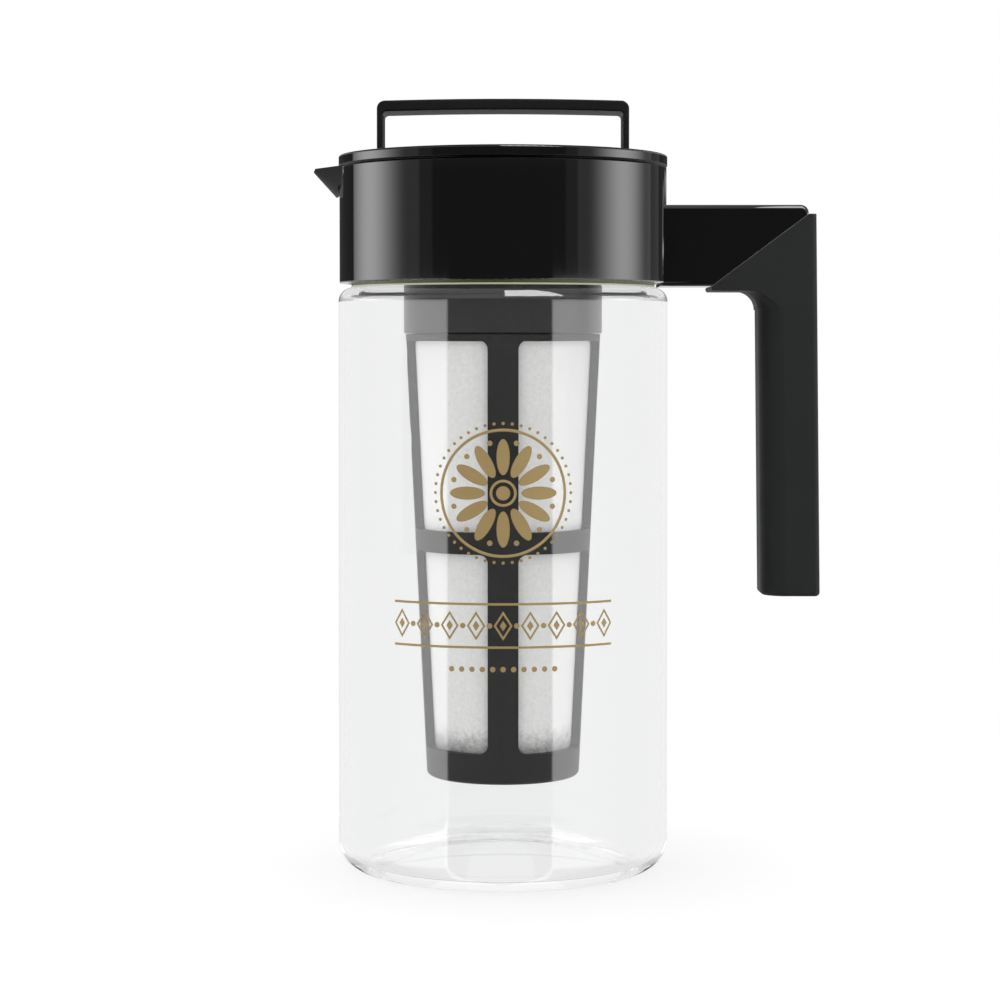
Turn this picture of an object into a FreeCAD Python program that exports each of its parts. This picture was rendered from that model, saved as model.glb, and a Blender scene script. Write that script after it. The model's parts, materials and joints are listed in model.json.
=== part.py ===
import FreeCAD, Part
import math
import os
from FreeCAD import Vector

# A one litre cold brew maker: a clear jug with a snap-on collar that carries the pouring beak
# and the side handle, a stopper with a rotary lid, and a long mesh filter screwed under it.
# Millimetres, +Z up, origin on the jug's axis in the plane it stands on.
# The beak points to -X and the handle to +X, so the broad sides face -Y and +Y.

# Jug
jug_radius = 50.0
jug_wall = 2.8
jug_corner = 8.5            # round between the side and the foot
foot_width = 4.0            # flat ring the jug stands on
punt_rise = 8.4             # dome pushed up in the middle of the base
punt_fullness = 0.98        # share of the whole dome that is round; the rest eases into the foot
jug_lip = 1.1               # round of the rim
shoulder_height = 175.9
shoulder_round = 4.4
neck_setback = 5.0          # from the jug's side in to the neck's
neck_length = 21.1

# Collar and its inner liner
collar_inset = 0.4          # the collar's side stands this far inside the jug's
collar_wall = 2.4
collar_height = 35.1
seal_thickness = 1.2        # silicone ring between the jug's shoulder and the collar
seal_width = 1.0
counterbore_depth = 1.9     # the recess in the collar's top that takes the stopper's flange
counterbore_wall = 3.05
collar_web = 1.8            # the ring under the counterbore
liner_gap = 0.3             # between the liner and the collar's inner face
liner_lift = 0.2            # the liner's foot is this far above the collar's lower edge
rim_gap = 0.3               # between the jug's rim and the liner's shelf
bore_step = 0.8             # the stopper's bore is this much narrower than the neck

# Pouring beak
beak_reach = 7.8            # how far its tip stands out from the collar
beak_half_angle = 18.5      # where its top edges leave the collar, round the jug's axis
beak_depth = 9.0            # from the collar's top to the lower end of the keel
beak_tip_drop = 0.3         # how far the tip lies under the collar's top
beak_tip_depth = 1.2
beak_tip_half_width = 0.9
beak_wall = 1.3
beak_notch = 1.0            # the keel's lower end stands this far off the collar
beak_notch_rise = 3.0       # and the notch behind it closes this much higher
pour_half_width = 7.5       # half the width of the passage through the liner

# Handle
arm_drop = 11.7             # from the collar's top down to the arm's
arm_depth = 24.4            # height of the arm's side
arm_reach = 42.1            # from the collar's side to the arm's end
handle_breadth = 24.0       # across the hand
arm_round = 1.2
arm_nose_round = 2.4        # round of the arm's upper end
mitre_start = 12.9          # from the collar's side to the mitre's lower end
mitre_drop = 2.6            # from the arm's top down to the mitre's upper end
mitre_seam = 0.15
grip_overhang = 2.4         # the grip stands out past the arm's end
grip_thickness = 17.4
grip_drop = 2.7             # from the arm's top down to the grip's
grip_length = 114.9
grip_lean = 1.2             # the grip moves out by this from top to foot
gusset_drop = 1.4           # the gusset's edge hangs this far under the arm
gusset_nose_round = 0.7     # round of the gusset's free end
gusset_cove = 5.5           # hollow round between the gusset and the grip
cove_bite = 0.6             # that round reaches this far into both
palm_round = 7.5            # rounds of the grip's side that the fingers pull on
back_round = 1.8            # rounds of its outer side
foot_round = 1.2
grip_skin = 3.2             # soft layer over the stiff core
overmould_gap = 0.05
screw_radius = 1.5
screw_head_radius = 2.8
screw_head_height = 2.0
screw_length = 10.0
screw_places = (0.4, 0.72)  # shares of the mitre's length
screw_gap = 0.05

# Lid
lid_overhang = 0.25         # the lid's rim stands this far out from the collar's side
lid_thickness = 3.3
lid_round = 0.6
lid_seam = 0.2
lid_rim_round = 0.3
shutter_wall = 1.7
shutter_gap = 0.3
shutter_bead = 0.6
bead_height = 1.0

# Lid handle
arch_span = 75.9
arch_height = 16.2          # from the lid's top to the top of the bar's ends
arch_crown = 0.5            # rise of the bar's middle over its ends
arch_breadth = 17.5
arch_bar = 3.2
arch_leg = 1.8
arch_corner = 2.4
arch_inner_round = 1.2
arch_edge_round = 0.5
arch_seat = 0.5             # the legs stand this deep in the lid
tongue_thickness = 1.6
tongue_breadth = 8.0
tongue_hook = 0.8
hook_height = 1.4
arch_gap = 0.05             # between the handle's feet and their seats
arch_crown_share = 0.8      # share of the bar that is curved

# Stopper under the lid
flange_gap = 0.3
plug_wall = 2.0
plug_clearance = 0.8        # from the stopper's side to the bore and to the jug's neck
chamber_floor = 2.0
chamber_depth = 20.5        # from the flange's top down to the chamber floor's top
gasket_gap = 0.1
gasket_height = 1.8
gasket_bite = 1.0           # how deep a gasket lies in its groove
lower_gasket_height = 2.6
gasket_lip = 1.6            # floor left under the lower gasket's groove
groove_lip = 0.1            # wall left over the upper gasket's groove
gasket_stretch = 0.05       # from a gasket's inner face to the bottom of its groove
inlet_count = 12
inlet_rib = 4.0
inlet_margin = 1.7          # floor left between an inlet and the walls beside it
pour_window_angle = 38.0
pour_window_height = 5.6
window_margin = 0.6         # wall left between the pour window and the gasket's groove
shutter_turn = 90.0

# Plate welded into the stopper's lower edge, and the filter's socket under it
weld_step = 0.8             # the step in the edge that takes the plate
weld_height = 1.2
weld_gap = 0.05
spigot_height = 1.2
spigot_wall = 1.5
spigot_gap = 0.2
socket_radius = 30.1
socket_wall = 2.0
socket_length = 27.7        # how far the socket hangs under the stopper
thread_length = 9.2
washer_ledge = 2.0
washer_thickness = 1.2
washer_gap = 0.1

# Filter
thread_gap = 0.9            # room between the smooth neck and the socket for the thread's ridges
filter_seam = 0.2
filter_top_radius = 29.6
filter_foot_radius = 23.1
filter_wall = 2.4
neck_wall = 2.3
filter_length = 134.0       # from the frame's shoulder down to its foot
filter_rib = 9.1
filter_ring = 6.5           # height of the middle ring
ring_drop = 62.1            # from the frame's shoulder down to the middle ring's centre
filter_head = 2.1           # solid ring above the upper windows
filter_cup = 9.0            # solid cup below the lower windows
cup_round = 1.6
window_round = 2.6
rib_count = 4
mesh_thickness = 0.4
mesh_gap = 0.2
mesh_overlap = 1.6          # the mesh runs this far behind the frame above and below

# All mouldings
edge_round = 0.4
tool_margin = 1.0           # a cutting tool runs this far past what it cuts

FULL_TURN = 360.0
AXIS = Vector(0, 0, 1)
ORIGIN = Vector(0, 0, 0)

# Heights and radii that follow from the sizes above
neck_radius = jug_radius - neck_setback
neck_bore = neck_radius - jug_wall
rim_height = shoulder_height + neck_length
collar_radius = jug_radius - collar_inset
collar_bore = collar_radius - collar_wall
collar_bottom = shoulder_height + seal_thickness
collar_top = collar_bottom + collar_height
counterbore_radius = collar_radius - counterbore_wall
bore_radius = neck_radius - bore_step
seat_height = collar_top - counterbore_depth
web_bottom = seat_height - collar_web
liner_radius = collar_bore - liner_gap
liner_foot = collar_bottom + liner_lift
beyond = 2 * collar_radius  # reach of a tool that has to clear the whole jug

arm_top = collar_top - arm_drop
arm_underside = arm_top - arm_depth
arm_end = collar_radius + arm_reach
mitre_low = Vector(collar_radius + mitre_start, 0, arm_underside)
mitre_high = Vector(arm_end, 0, arm_top - mitre_drop)
grip_outer = arm_end + grip_overhang
grip_inner = grip_outer - grip_thickness
grip_top = arm_top - grip_drop
grip_foot = grip_top - grip_length
gusset_underside = arm_underside - gusset_drop

lid_radius = collar_radius + lid_overhang
lid_bottom = collar_top + lid_seam
lid_top = lid_bottom + lid_thickness
plug_radius = bore_radius - plug_clearance
plug_neck_radius = neck_bore - plug_clearance
plug_step = rim_height + plug_clearance
plug_bore = plug_neck_radius - plug_wall - gasket_bite
chamber_bottom = collar_top - chamber_depth
plug_bottom = chamber_bottom - chamber_floor
weld_shoulder = plug_bottom + weld_height
shutter_radius = plug_radius - plug_wall - shutter_gap
shutter_bore = shutter_radius - shutter_wall
shutter_bottom = plug_step + shutter_gap
upper_groove_top = seat_height - groove_lip
upper_groove_bottom = upper_groove_top - gasket_height - gasket_gap
lower_groove_bottom = plug_bottom + gasket_lip
window_top = upper_groove_bottom - window_margin
window_bottom = window_top - pour_window_height

thread_radius = socket_radius - socket_wall
socket_mouth = plug_bottom - socket_length
ledge_bottom = socket_mouth + thread_length
filter_neck_radius = thread_radius - thread_gap
filter_neck_bore = filter_neck_radius - neck_wall
filter_neck_top = ledge_bottom - washer_thickness - washer_gap - filter_seam
filter_top = socket_mouth - filter_seam
filter_bottom = filter_top - filter_length
ring_centre = filter_top - ring_drop


def outline(corners):
    """Closed face in the XZ plane through corners (x, z) or (x, z, radius of the round)."""
    count = len(corners)
    points = [Vector(corner[0], 0, corner[1]) for corner in corners]
    arcs = []
    for i, corner in enumerate(corners):
        here = points[i]
        radius = corner[2] if len(corner) > 2 else 0
        if not radius:
            arcs.append((here, None, here))
            continue
        back = (points[i - 1] - here).normalize()
        ahead = (points[(i + 1) % count] - here).normalize()
        half = back.getAngle(ahead) / 2
        run = radius / math.tan(half)
        middle = (back + ahead).normalize()
        bulge = here + middle * (radius / math.sin(half) - radius)
        arcs.append((here + back * run, bulge, here + ahead * run))
    edges = []
    for i, (start, bulge, end) in enumerate(arcs):
        if bulge:
            edges.append(Part.Arc(start, bulge, end).toShape())
        following = arcs[(i + 1) % count][0]
        if end.distanceToPoint(following) > 1e-6:
            edges.append(Part.makeLine(end, following))
    return Part.Face(Part.Wire(edges))


def turned(corners, angle=FULL_TURN):
    """Solid of revolution about the jug's axis."""
    return outline(corners).revolve(ORIGIN, AXIS, angle)


def prism(corners, breadth):
    """The outline drawn out along Y to an equal depth on both sides."""
    face = outline(corners)
    face.translate(Vector(0, -breadth / 2, 0))
    return face.extrude(Vector(0, breadth, 0))


def ring(inner, outer, bottom, top):
    return turned([(inner, bottom), (outer, bottom), (outer, top), (inner, top)])


def spun(shape, angle):
    copy = shape.copy()
    copy.rotate(ORIGIN, AXIS, angle)
    return copy


def sector(inner, outer, bottom, top, width, centre):
    """Part of a ring, width degrees wide about the direction centre."""
    wedge = turned([(inner, bottom), (outer, bottom), (outer, top), (inner, top)], width)
    return spun(wedge, centre - width / 2)


def rounded_along(shape, radius, wanted):
    """Rounds the edges for which wanted(edge) holds."""
    return shape.makeFillet(radius, [edge for edge in shape.Edges if wanted(edge)])


def jug_body():
    foot_inner = jug_radius - jug_corner - foot_width
    dome_radius = (foot_inner ** 2 + punt_rise ** 2) / (2 * punt_rise)
    dome_knee = dome_radius * punt_rise / foot_inner
    dome_round = dome_radius * punt_fullness
    side = jug_radius - jug_wall
    ceiling = shoulder_height - jug_wall
    return turned([
        (0, punt_rise), (dome_knee, punt_rise, dome_round), (foot_inner, 0, jug_wall),
        (jug_radius, 0, jug_corner), (jug_radius, shoulder_height, shoulder_round),
        (neck_radius, shoulder_height), (neck_radius, rim_height, jug_lip),
        (neck_bore, rim_height, jug_lip), (neck_bore, ceiling, jug_wall / 2),
        (side, ceiling, jug_wall / 2), (side, jug_wall, jug_corner - jug_wall),
        (foot_inner, jug_wall, 2 * jug_wall), (dome_knee, punt_rise + jug_wall, dome_round),
        (0, punt_rise + jug_wall)])


def neck_seal():
    return ring(neck_radius + gasket_gap, neck_radius + seal_width, shoulder_height, liner_foot)


def neck_liner():
    inner = neck_radius + gasket_gap
    shelf = rim_height + rim_gap
    body = turned([
        (inner, liner_foot), (liner_radius, liner_foot), (liner_radius, web_bottom),
        (bore_radius, web_bottom), (bore_radius, shelf), (inner, shelf)])
    passage = Part.makeBox(beyond, 2 * pour_half_width, pour_window_height,
                           Vector(-beyond, -pour_half_width, window_bottom))
    return body.cut(passage)


def beak_section(x, half_width, bottom, top):
    """Upright U, closed across its top, at distance x from the axis on the pouring side."""
    left = Vector(-x, -half_width, top)
    right = Vector(-x, half_width, top)
    arc = Part.Arc(left, Vector(-x, 0, bottom), right).toShape()
    return Part.Wire([arc, Part.makeLine(right, left)])


def beak_loft(stations, inset, rise):
    """The beak's body or, with an inset from its sides and a rise above its rim, its channel."""
    tip_x = collar_radius + beak_reach
    tip_keel = collar_top - beak_tip_drop - beak_tip_depth
    spread_x = collar_radius * math.cos(math.radians(beak_half_angle))
    spread_y = collar_radius * math.sin(math.radians(beak_half_angle))
    flare = (spread_y - beak_tip_half_width) / (tip_x - spread_x)
    keel_x = collar_radius + beak_notch
    slope = (tip_keel - collar_top + beak_depth) / (tip_x - keel_x)
    sections = []
    for x in stations:
        back = tip_x - x
        half_width = beak_tip_half_width + flare * back - inset * math.hypot(1, flare)
        keel = tip_keel - slope * back + inset * math.hypot(1, slope)
        rim = collar_top - beak_tip_drop * (1 - back / (tip_x - stations[0])) + rise
        if x == stations[-1] and inset:
            half_width = beak_tip_half_width / 2
            keel = tip_keel + beak_tip_depth / 2
        sections.append(beak_section(x, half_width, keel, rim))
    return Part.makeLoft(sections, True, True)


def beak_solids():
    """The beak's body with the notch behind its keel, and the channel to cut from the collar."""
    tip_x = collar_radius + beak_reach
    root_x = collar_radius * math.cos(math.radians(beak_half_angle)) - collar_wall
    waist_x = tip_x - beak_reach / 3
    keel = collar_top - beak_depth
    reach = beak_notch_rise
    notch = turned([(collar_radius, keel + beak_notch_rise), (collar_radius, keel - reach),
                    (collar_radius + beak_notch * (1 + reach / beak_notch_rise), keel - reach)])
    bore = Part.makeCylinder(collar_bore, collar_top)
    body = beak_loft([root_x, tip_x], 0, 0).cut([bore, notch])
    counterbore = Part.makeCylinder(counterbore_radius, 2 * collar_top)
    channel = beak_loft([root_x, waist_x, tip_x + beak_notch], beak_wall, beak_wall)
    return body, channel.cut(counterbore)


def handle_arm():
    bar = prism([(collar_bore, arm_underside), (mitre_low.x, arm_underside),
                 (mitre_high.x, mitre_high.z), (mitre_high.x, arm_top, arm_nose_round),
                 (collar_bore, arm_top)], handle_breadth)
    bore = Part.makeCylinder(collar_bore, collar_top)
    return rounded_along(bar, arm_round, runs_along_arm).cut(bore)


def runs_along_arm(edge):
    start, end = edge.Vertexes[0].Point, edge.Vertexes[-1].Point
    return abs(start.z - end.z) < arm_round / 10 and abs(start.x - end.x) > arm_round


def collar():
    shell = turned([
        (collar_bore, collar_bottom, edge_round), (collar_radius, collar_bottom, edge_round),
        (collar_radius, collar_top, edge_round), (counterbore_radius, collar_top),
        (counterbore_radius, seat_height), (bore_radius, seat_height),
        (bore_radius, web_bottom), (collar_bore, web_bottom)])
    beak, channel = beak_solids()
    holes = [screw_solid(place, screw_gap) for place in screw_places]
    return shell.fuse([beak, handle_arm()]).cut([channel] + holes).removeSplitter()


def mitre_normal():
    """Unit vector square to the mitre, pointing from the arm into the grip."""
    along = (mitre_high - mitre_low).normalize()
    return Vector(along.z, 0, -along.x)


def screw_solid(share, gap):
    """A pan screw square to the mitre, its head on the core and its shank in the arm."""
    normal = mitre_normal()
    seat = mitre_low + (mitre_high - mitre_low) * share + normal * (grip_skin + mitre_seam)
    head = Part.makeCylinder(screw_head_radius + gap, screw_head_height + gap, seat, normal)
    shank = Part.makeCylinder(screw_radius + gap, screw_length + gap, seat, normal * -1)
    return head.fuse(shank)


def handle_screws():
    return Part.makeCompound([screw_solid(place, 0) for place in screw_places])


def above_mitre():
    """Block that holds everything on the arm's side of the mitre's seam."""
    seam = mitre_normal() * mitre_seam
    along = mitre_high - mitre_low
    low = mitre_low + seam - along
    high = mitre_high + seam + along
    return prism([(low.x, low.z), (high.x, high.z), (low.x, high.z)], 2 * handle_breadth)


def core_solid(inset):
    """Stiff shape inside the grip, drawn in by inset from the grip's outside."""
    blade = prism([
        (mitre_low.x + 2 * inset, gusset_underside + inset),
        (grip_inner + inset, gusset_underside + inset),
        (grip_inner + grip_lean + inset, grip_foot + inset), (grip_outer - inset, grip_foot + inset),
        (grip_outer - inset, grip_top - inset), (mitre_low.x + 2 * inset, grip_top - inset)],
        handle_breadth - 2 * inset)
    return blade.cut(above_mitre())


def handle_core():
    core = core_solid(grip_skin + overmould_gap)
    return core.cut([screw_solid(place, screw_gap) for place in screw_places])


def grip_column():
    """The part that the hand holds: broad rounds on the palm side, small ones on the back."""
    half = handle_breadth / 2
    section = [
        (grip_inner, -half, palm_round), (grip_outer, -half, back_round),
        (grip_outer, half, back_round), (grip_inner, half, palm_round)]
    face = outline(section)
    face.rotate(ORIGIN, Vector(1, 0, 0), -90)
    face.translate(Vector(0, 0, grip_top))
    column = face.extrude(Vector(grip_lean, 0, -grip_length))
    return rounded_along(column, foot_round,
                         lambda edge: edge.BoundBox.ZMax < grip_foot + foot_round / 10)


def gusset_cove_solid():
    """Hollow round under the gusset, along the grip's palm side and round its two corners."""
    half = handle_breadth / 2
    flat = half - palm_round
    low = gusset_underside - gusset_cove
    far = grip_inner - gusset_cove
    section = outline([
        (far, gusset_underside), (grip_inner, gusset_underside, gusset_cove), (grip_inner, low),
        (grip_inner + cove_bite, low), (grip_inner + cove_bite, gusset_underside + cove_bite),
        (far, gusset_underside + cove_bite)])
    straight = section.translated(Vector(0, -flat, 0))
    pieces = [straight.extrude(Vector(0, 2 * flat, 0))]
    for side in (-1, 1):
        centre = Vector(grip_inner + palm_round, side * flat, 0)
        corner = section.translated(Vector(0, side * flat, 0))
        pieces.append(corner.revolve(centre, AXIS, -side * FULL_TURN / 4))
    slab = Part.makeBox(beyond, handle_breadth, collar_top, Vector(0, -half, 0))
    return pieces[0].fuse(pieces[1:]).common(slab)


def handle_grip():
    column = grip_column()
    gusset = prism([
        (mitre_low.x, grip_top), (mitre_low.x, gusset_underside, gusset_nose_round),
        (grip_inner + palm_round, gusset_underside), (grip_inner + palm_round, grip_top)],
        handle_breadth)
    body = column.fuse([gusset, gusset_cove_solid()]).cut(above_mitre())
    heads = [screw_solid(place, screw_gap) for place in screw_places]
    return body.cut([core_solid(grip_skin)] + heads).removeSplitter()


def lid_cover():
    body = turned([(0, lid_bottom), (lid_radius, lid_bottom, lid_rim_round),
                   (lid_radius, lid_top, lid_round), (0, lid_top)])
    seats = [leg_block(side, arch_leg, arch_breadth, lid_top - arch_seat) for side in (-1, 1)]
    slots = [leg_block(side, tongue_thickness, tongue_breadth, lid_bottom - tool_margin)
             for side in (-1, 1)]
    return body.cut(seats + slots)


def shutter_ring():
    """Skirt under the lid that closes the pour window; a bead near its foot snaps into the stopper."""
    bead = shutter_radius + shutter_bead
    body = turned([
        (shutter_bore, shutter_bottom), (shutter_radius, shutter_bottom),
        (bead, shutter_bottom + shutter_bead / 2), (bead, shutter_bottom + bead_height),
        (shutter_radius, shutter_bottom + bead_height + shutter_bead),
        (shutter_radius, lid_bottom), (shutter_bore, lid_bottom)])
    return body.cut(pour_window(shutter_bore, shutter_radius, FULL_TURN / 2 - shutter_turn))


def pour_window(inner, outer, centre):
    """Tool for the window that the coffee leaves through, in the wall from inner to outer."""
    return sector(inner - tool_margin, outer + tool_margin, window_bottom, window_top,
                  pour_window_angle, centre)


def leg_block(side, thickness, breadth, bottom):
    """Tool centred on one leg of the lid handle, a little wider than what it makes room for."""
    centre = side * (arch_span - arch_leg) / 2
    width = thickness + 2 * arch_gap
    length = breadth + 2 * arch_gap
    return Part.makeBox(width, length, beyond, Vector(centre - width / 2, -length / 2, bottom))


def tongue(side):
    """Snap tongue under one leg: it passes the lid and hooks outwards under it."""
    leg_centre = (arch_span - arch_leg) / 2
    near = leg_centre - tongue_thickness / 2
    far = leg_centre + tongue_thickness / 2
    low = lid_bottom - hook_height
    catch = lid_bottom - arch_gap
    corners = [(near, lid_top - arch_seat), (far, lid_top - arch_seat), (far, catch),
               (far + tongue_hook, catch), (far, low), (near, low)]
    blade = prism(corners, tongue_breadth)
    return blade if side > 0 else spun(blade, FULL_TURN / 2)


def lid_handle():
    half = arch_span / 2
    inner = half - arch_leg
    foot = lid_top - arch_seat
    top = lid_top + arch_height
    crown_radius = arch_crown_share * half ** 2 / (2 * arch_crown)
    arch = prism([
        (-half, foot), (-half, top, arch_corner), (0, top + 2 * arch_crown, crown_radius),
        (half, top, arch_corner), (half, foot), (inner, foot), (inner, top - arch_bar, arch_inner_round),
        (0, top - arch_bar + 2 * arch_crown, crown_radius), (-inner, top - arch_bar, arch_inner_round),
        (-inner, foot)], arch_breadth)
    side = arch_breadth / 2
    near = arch_gap / 10
    arch = rounded_along(arch, arch_edge_round,
                         lambda edge: abs(abs(edge.CenterOfMass.y) - side) < near
                         and edge.CenterOfMass.z > foot + near)
    return arch.fuse([tongue(-1), tongue(1)])


def lid_plug():
    """Wall of the stopper, with its flange, two gasket grooves, pour window and shutter's track."""
    inner = plug_radius - plug_wall
    track = inner + shutter_bead
    track_bottom = plug_step + shutter_gap / 2
    track_top = shutter_bottom + bead_height + shutter_bead
    low_groove = plug_neck_radius - gasket_bite
    low_groove_top = lower_groove_bottom + lower_gasket_height + gasket_gap
    flange = counterbore_radius - flange_gap
    body = turned([
        (plug_bore + weld_step, plug_bottom), (plug_neck_radius, plug_bottom, edge_round),
        (plug_neck_radius, lower_groove_bottom), (low_groove, lower_groove_bottom),
        (low_groove, low_groove_top), (plug_neck_radius, low_groove_top),
        (plug_neck_radius, plug_step), (plug_radius, plug_step),
        (plug_radius, upper_groove_bottom), (plug_radius - gasket_bite, upper_groove_bottom),
        (plug_radius - gasket_bite, upper_groove_top), (plug_radius, upper_groove_top),
        (plug_radius, seat_height), (flange, seat_height), (flange, collar_top), (inner, collar_top),
        (inner, track_top + shutter_bead), (track, track_top), (track, track_bottom),
        (plug_bore, track_bottom), (plug_bore, weld_shoulder), (plug_bore + weld_step, weld_shoulder)])
    return body.cut(pour_window(inner, plug_radius, FULL_TURN / 2))


def inlet_plate():
    """Disc that closes the stopper from below: a ring of inlets, and a spigot that centres the socket."""
    rim = plug_bore - weld_gap
    spigot = thread_radius - spigot_gap
    body = turned([
        (0, plug_bottom), (spigot - spigot_wall, plug_bottom),
        (spigot - spigot_wall, plug_bottom - spigot_height), (spigot, plug_bottom - spigot_height),
        (spigot, plug_bottom), (rim + weld_step, plug_bottom), (rim + weld_step, weld_shoulder),
        (rim, weld_shoulder), (rim, chamber_bottom), (0, chamber_bottom)])
    slot_width = FULL_TURN / inlet_count - math.degrees(inlet_rib / socket_radius)
    inlets = [sector(socket_radius + inlet_margin, plug_bore - inlet_margin,
                     plug_bottom - tool_margin, chamber_bottom + tool_margin,
                     slot_width, turn * FULL_TURN / inlet_count) for turn in range(inlet_count)]
    return body.cut(inlets)


def filter_socket():
    """Tube welded under the plate, with the ledge that stops the filter's neck."""
    ledge_top = ledge_bottom + washer_ledge
    return turned([
        (thread_radius, socket_mouth), (socket_radius, socket_mouth, edge_round),
        (socket_radius, plug_bottom), (thread_radius, plug_bottom),
        (thread_radius, ledge_top), (filter_neck_bore, ledge_top),
        (filter_neck_bore, ledge_bottom), (thread_radius, ledge_bottom)])


def gasket(groove_radius, sealing_radius, bottom, height):
    """Ring lying in a groove, its outer corners rounded where it wipes the bore."""
    inner = groove_radius + gasket_stretch
    outer = sealing_radius - gasket_gap
    soft = height / 4
    return turned([(inner, bottom), (outer, bottom, soft), (outer, bottom + height, soft),
                   (inner, bottom + height)])


def upper_gasket():
    return gasket(plug_radius - gasket_bite, bore_radius,
                  upper_groove_bottom + gasket_gap / 2, gasket_height)


def lower_gasket():
    return gasket(plug_neck_radius - gasket_bite, neck_bore,
                  lower_groove_bottom + gasket_gap / 2, lower_gasket_height)


def filter_washer():
    bottom = filter_neck_top + washer_gap / 2
    return ring(filter_neck_bore, thread_radius - washer_gap * 2,
                bottom, bottom + washer_thickness)


def filter_radius(height):
    """Outer radius of the tapered frame."""
    share = (height - filter_bottom) / (filter_top - filter_bottom)
    return filter_foot_radius + share * (filter_top_radius - filter_foot_radius)


def window_pair(bottom, top):
    """Tool for one window between two ribs, with round corners seen square to each rib."""
    edge = filter_rib / 2
    far = filter_top_radius + tool_margin
    profile = [(edge, bottom, window_round), (far, bottom), (far, top), (edge, top, window_round)]
    across = outline(profile).extrude(Vector(0, far, 0))
    return across.common(across.mirror(ORIGIN, Vector(1, -1, 0)))


def window_rows():
    upper = (ring_centre + filter_ring / 2, filter_top - filter_head)
    lower = (filter_bottom + filter_cup, ring_centre - filter_ring / 2)
    return upper, lower


def filter_frame():
    floor = filter_bottom + filter_wall
    head = filter_top - filter_head
    body = turned([
        (0, filter_bottom), (filter_foot_radius, filter_bottom, cup_round),
        (filter_top_radius, filter_top, edge_round), (filter_neck_radius, filter_top),
        (filter_neck_radius, filter_neck_top, edge_round), (filter_neck_bore, filter_neck_top),
        (filter_neck_bore, head), (filter_radius(head) - filter_wall, head),
        (filter_radius(floor) - filter_wall, floor, cup_round), (0, floor)])
    tools = []
    for bottom, top in window_rows():
        tool = window_pair(bottom, top)
        tools += [spun(tool, turn * FULL_TURN / rib_count) for turn in range(rib_count)]
    return body.cut(tools)


def mesh_sleeve(row):
    """Fine mesh lining one row of windows, as a thin cone against the frame's inner wall."""
    bottom, top = window_rows()[row]
    low = bottom - mesh_overlap
    high = min(top + mesh_overlap, filter_top - filter_head) - mesh_gap
    low_radius = filter_radius(low) - filter_wall - mesh_gap
    high_radius = filter_radius(high) - filter_wall - mesh_gap
    return turned([(low_radius - mesh_thickness, low), (low_radius, low),
                   (high_radius, high), (high_radius - mesh_thickness, high)])


def upper_mesh():
    return mesh_sleeve(0)


def lower_mesh():
    return mesh_sleeve(1)


PARTS = (jug_body, neck_seal, neck_liner, collar, handle_core, handle_screws, handle_grip,
         lid_plug, inlet_plate, filter_socket, upper_gasket, lower_gasket, lid_cover, shutter_ring, lid_handle,
         filter_washer, filter_frame, upper_mesh, lower_mesh)

os.makedirs("parts", exist_ok=True)
for make in PARTS:
    shape = make()
    shape.exportStep("parts/" + make.__name__ + ".step")
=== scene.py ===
import json
import math

import bmesh
import bpy
from mathutils import Matrix, Vector


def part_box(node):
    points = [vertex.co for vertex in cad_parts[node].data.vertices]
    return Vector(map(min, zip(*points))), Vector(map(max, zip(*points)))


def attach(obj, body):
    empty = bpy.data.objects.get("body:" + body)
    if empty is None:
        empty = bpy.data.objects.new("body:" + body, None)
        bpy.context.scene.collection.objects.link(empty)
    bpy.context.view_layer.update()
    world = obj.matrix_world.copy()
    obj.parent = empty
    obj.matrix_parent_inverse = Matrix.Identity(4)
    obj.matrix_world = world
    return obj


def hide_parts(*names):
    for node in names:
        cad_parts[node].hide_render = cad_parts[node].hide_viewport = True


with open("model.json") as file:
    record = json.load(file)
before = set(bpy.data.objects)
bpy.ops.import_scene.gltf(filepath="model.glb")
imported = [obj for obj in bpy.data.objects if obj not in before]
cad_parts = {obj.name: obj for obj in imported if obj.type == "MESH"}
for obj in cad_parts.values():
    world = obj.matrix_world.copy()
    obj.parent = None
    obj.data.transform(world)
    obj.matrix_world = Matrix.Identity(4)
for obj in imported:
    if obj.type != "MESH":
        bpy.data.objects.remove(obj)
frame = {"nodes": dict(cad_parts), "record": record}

# The finish of a cold brew maker: a clear jug with a printed frieze, a gloss collar and lid, a soft
# grip, and a long filter lined with woven mesh. Metres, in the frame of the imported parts.

MM = 0.001
TURN = 2 * math.pi
UPRIGHT_SLOPE = 0.001         # a face whose normal rises no more than this is upright
SHARP_ANGLE = 32              # edges between faces that turn more than this, in degrees, stay crisp
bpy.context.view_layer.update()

# Jug
JUG_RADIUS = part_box("jug_body")[1].y
JUG_SKIN = 0.05 * MM          # the clear wall stands this far inside the solid, to leave room for the print
JUG_WALL = 2.8 * MM
JUG_CORNER = 8.5 * MM
JUG_FOOT = 4.0 * MM
FOOT_INNER = JUG_RADIUS - JUG_CORNER - JUG_FOOT
PUNT_RISE = 8.4 * MM
PUNT_FULLNESS = 0.98
DOME_CLARITY = 0.7            # share of the light that the thin dome lets straight through
JUG_LIP = 1.1 * MM
NECK_SETBACK = 5.0 * MM
SHOULDER_ROUND = 4.4 * MM
SHOULDER_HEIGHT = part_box("neck_seal")[0].z
RIM_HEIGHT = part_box("jug_body")[1].z
JUG_SEGMENTS = 288

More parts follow.
